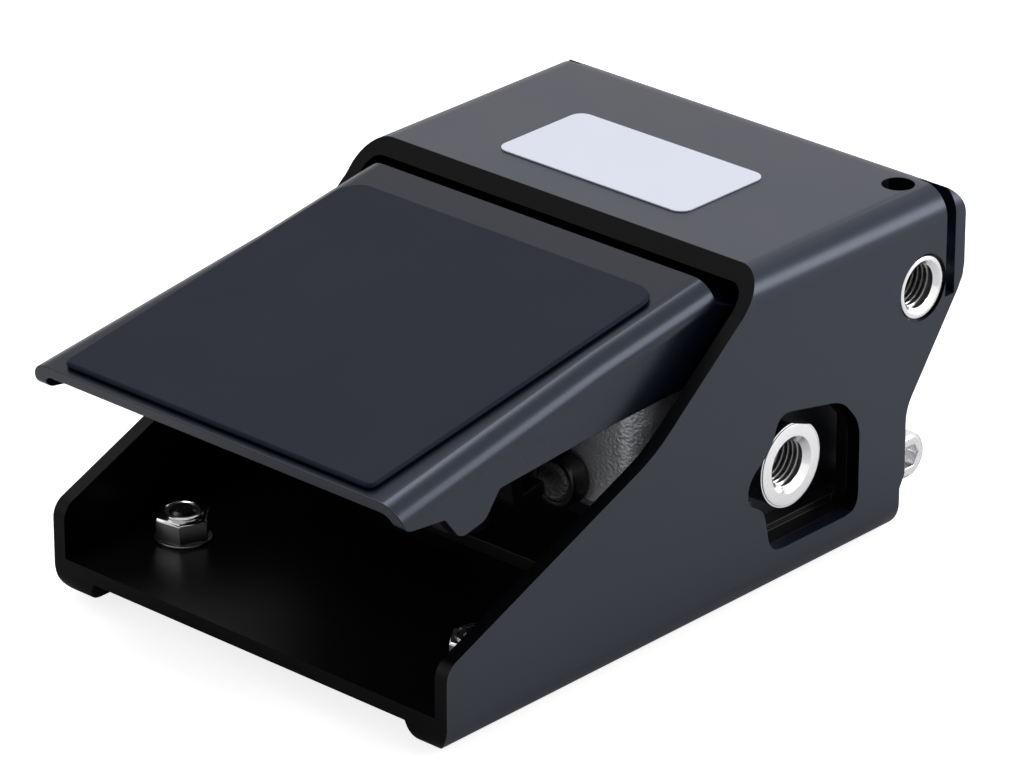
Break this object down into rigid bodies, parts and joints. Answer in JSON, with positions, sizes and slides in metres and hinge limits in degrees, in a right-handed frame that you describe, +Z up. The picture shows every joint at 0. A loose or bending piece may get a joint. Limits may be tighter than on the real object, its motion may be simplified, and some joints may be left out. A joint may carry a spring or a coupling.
{
  "type": "pneumatic foot valve",
  "caption": "Pedal-operated air valve: a sprung sheet-metal pedal hinges in a hooded housing and presses a plunger on an inner valve block with side ports.",
  "frame": {"origin": "centre of the footprint, on the floor plane under the rubber feet", "axes": "+Z up, -Y towards the free end of the pedal, +X towards the side with the ports"},
  "size_m": [0.116, 0.176, 0.0787],
  "materials": {
    "housing_black": "satin powder coat",
    "frame_black": "satin powder coat",
    "block_black": "black anodised",
    "cast_grey": "raw cast, blasted",
    "port_metal": "bright nickel plate",
    "plug_metal": "bright nickel plate",
    "holder_black": "fine satin",
    "sintered": "porous grey",
    "spool_metal": "ground",
    "seal_rubber": "matte",
    "cap_metal": "turned",
    "plunger_metal": "turned",
    "spring_wire": "drawn wire",
    "pedal_black": "satin powder coat",
    "pad_rubber": "slate, smooth",
    "bracket_black": "satin powder coat",
    "screw_zinc": "zinc plate",
    "washer_zinc": "zinc plate",
    "nut_zinc": "zinc plate",
    "pin_steel": "ground",
    "sleeve_polymer": "smooth",
    "label_film": "satin film",
    "foot_rubber": "matte",
    "screw_black": "black oxide"
  },
  "bodies": {
    "base": {"housing": "housing_black", "inner_frame": "frame_black", "valve_body": "block_black", "front_cover": "cast_grey", "port_insert_low": "port_metal", "port_insert_high": "port_metal", "channel_plug": "plug_metal", "silencer_holder": "holder_black", "silencer_core": "sintered", "gland_cap": "cap_metal", "pivot_pin": "pin_steel", "floor_bumper": "foot_rubber", "label_plate": "label_film", "foot_pads": "foot_rubber", "foot_screws": "screw_zinc", "rear_foot_screws": "screw_zinc", "foot_washers": "washer_zinc", "foot_nuts": "nut_zinc", "tie_screws": "screw_black", "vent_screw": "screw_black", "return_spring": "spring_wire", "spool_spring": "spring_wire"},
    "treadle": {"pedal": "pedal_black", "pedal_pad": "pad_rubber", "lever_bracket": "pedal_black", "adjust_screw": "screw_zinc", "adjust_nut": "screw_zinc", "stop_bracket": "bracket_black", "pivot_sleeve": "sleeve_polymer"},
    "plunger_body": {"plunger": "plunger_metal"},
    "spool_body": {"spool": "spool_metal", "spool_seals": "seal_rubber"}
  },
  "joints": [
    {"name": "pedal_hinge", "type": "hinge", "parent": "base", "child": "treadle", "pos_m": [0, 0.0498, 0.0626], "axis": [1, 0, 0], "range_deg": [0, 11.5], "stiffness_Nm_per_rad": 9, "springref_deg": -14.32},
    {"name": "plunger_slide", "type": "slide", "parent": "base", "child": "plunger_body", "axis": [0, 0, -1], "range_m": [0, 0.0065], "deforming": ["return_spring"]},
    {"name": "spool_slide", "type": "slide", "parent": "base", "child": "spool_body", "axis": [0, 0, -1], "range_m": [0, 0.0065], "deforming": ["spool_spring"]}
  ],
  "couplings": [
    {"joint": "plunger_slide", "follows": "pedal_hinge", "m_per_rad": 0.032},
    {"joint": "spool_slide", "follows": "pedal_hinge", "m_per_rad": 0.032}
  ]
}
